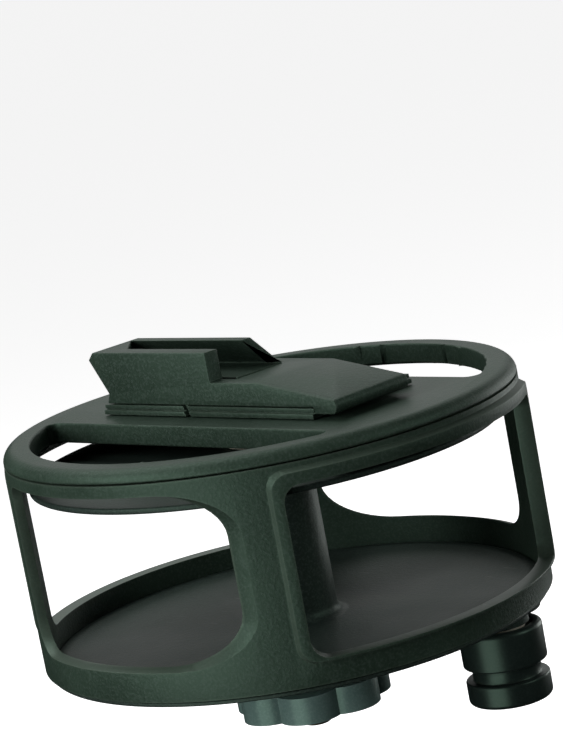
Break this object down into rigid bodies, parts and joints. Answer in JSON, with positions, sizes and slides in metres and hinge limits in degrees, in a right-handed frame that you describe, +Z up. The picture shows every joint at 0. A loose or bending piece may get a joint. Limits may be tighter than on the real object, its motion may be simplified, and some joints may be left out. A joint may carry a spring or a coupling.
{
  "type": "rod holder",
  "caption": "Open drum holder for fishing tackle: windowed cage with a quick-fit shoe, a hand-turned spool inside, a clamp knob and a winding grip underneath.",
  "frame": {"origin": "on the flat deck of the shoe, where the drum's axis meets it", "axes": "+Z up out of the shoe's deck along the drum's axis, +X along the shoe from its hooked tail towards its ramp"},
  "size_m": [0.123, 0.12, 0.0934],
  "materials": {
    "shell_plastic": "fine-grained moulded plastic, satin edges",
    "shoe_plastic": "fine-grained moulded plastic",
    "spool_plastic": "fine-grained moulded plastic",
    "grip_plastic": "smooth satin moulded plastic",
    "knob_plastic": "smooth semi-gloss moulded plastic",
    "steel": "plain machined",
    "brass": "turned, or yellow-plated steel",
    "nylon": "natural nylon"
  },
  "bodies": {
    "housing": {"cage": "shell_plastic", "top_cap": "shell_plastic", "shoe_base": "shoe_plastic", "shoe": "shoe_plastic", "shoe_screw_1": "steel", "shoe_screw_2": "steel", "shoe_screw_3": "steel", "shoe_screw_4": "steel", "clamp_bolt": "brass", "bolt_washer": "steel", "thrust_washer": "nylon"},
    "spool": {"spool_tray": "spool_plastic", "spool_flange": "spool_plastic", "flange_screw_1": "steel", "flange_screw_2": "steel", "flange_screw_3": "steel", "upper_bushing": "nylon", "lower_bushing": "nylon", "grip_screw": "steel"},
    "grip": {"winding_grip": "grip_plastic", "grip_washer": "nylon"},
    "knob": {"clamp_knob": "knob_plastic", "knob_insert": "brass", "knob_washer": "nylon"}
  },
  "joints": [
    {"name": "spool_turn", "type": "hinge", "parent": "housing", "child": "spool", "pos_m": [0, 0, 0], "axis": [0, 0, 1], "continuous": true},
    {"name": "grip_turn", "type": "hinge", "parent": "spool", "child": "grip", "pos_m": [0.04003, 0.02463, -0.0755], "axis": [0, 0, 1], "continuous": true},
    {"name": "knob_turn", "type": "hinge", "parent": "housing", "child": "knob", "pos_m": [0, 0, -0.0705], "axis": [0, 0, 1], "continuous": true}
  ]
}
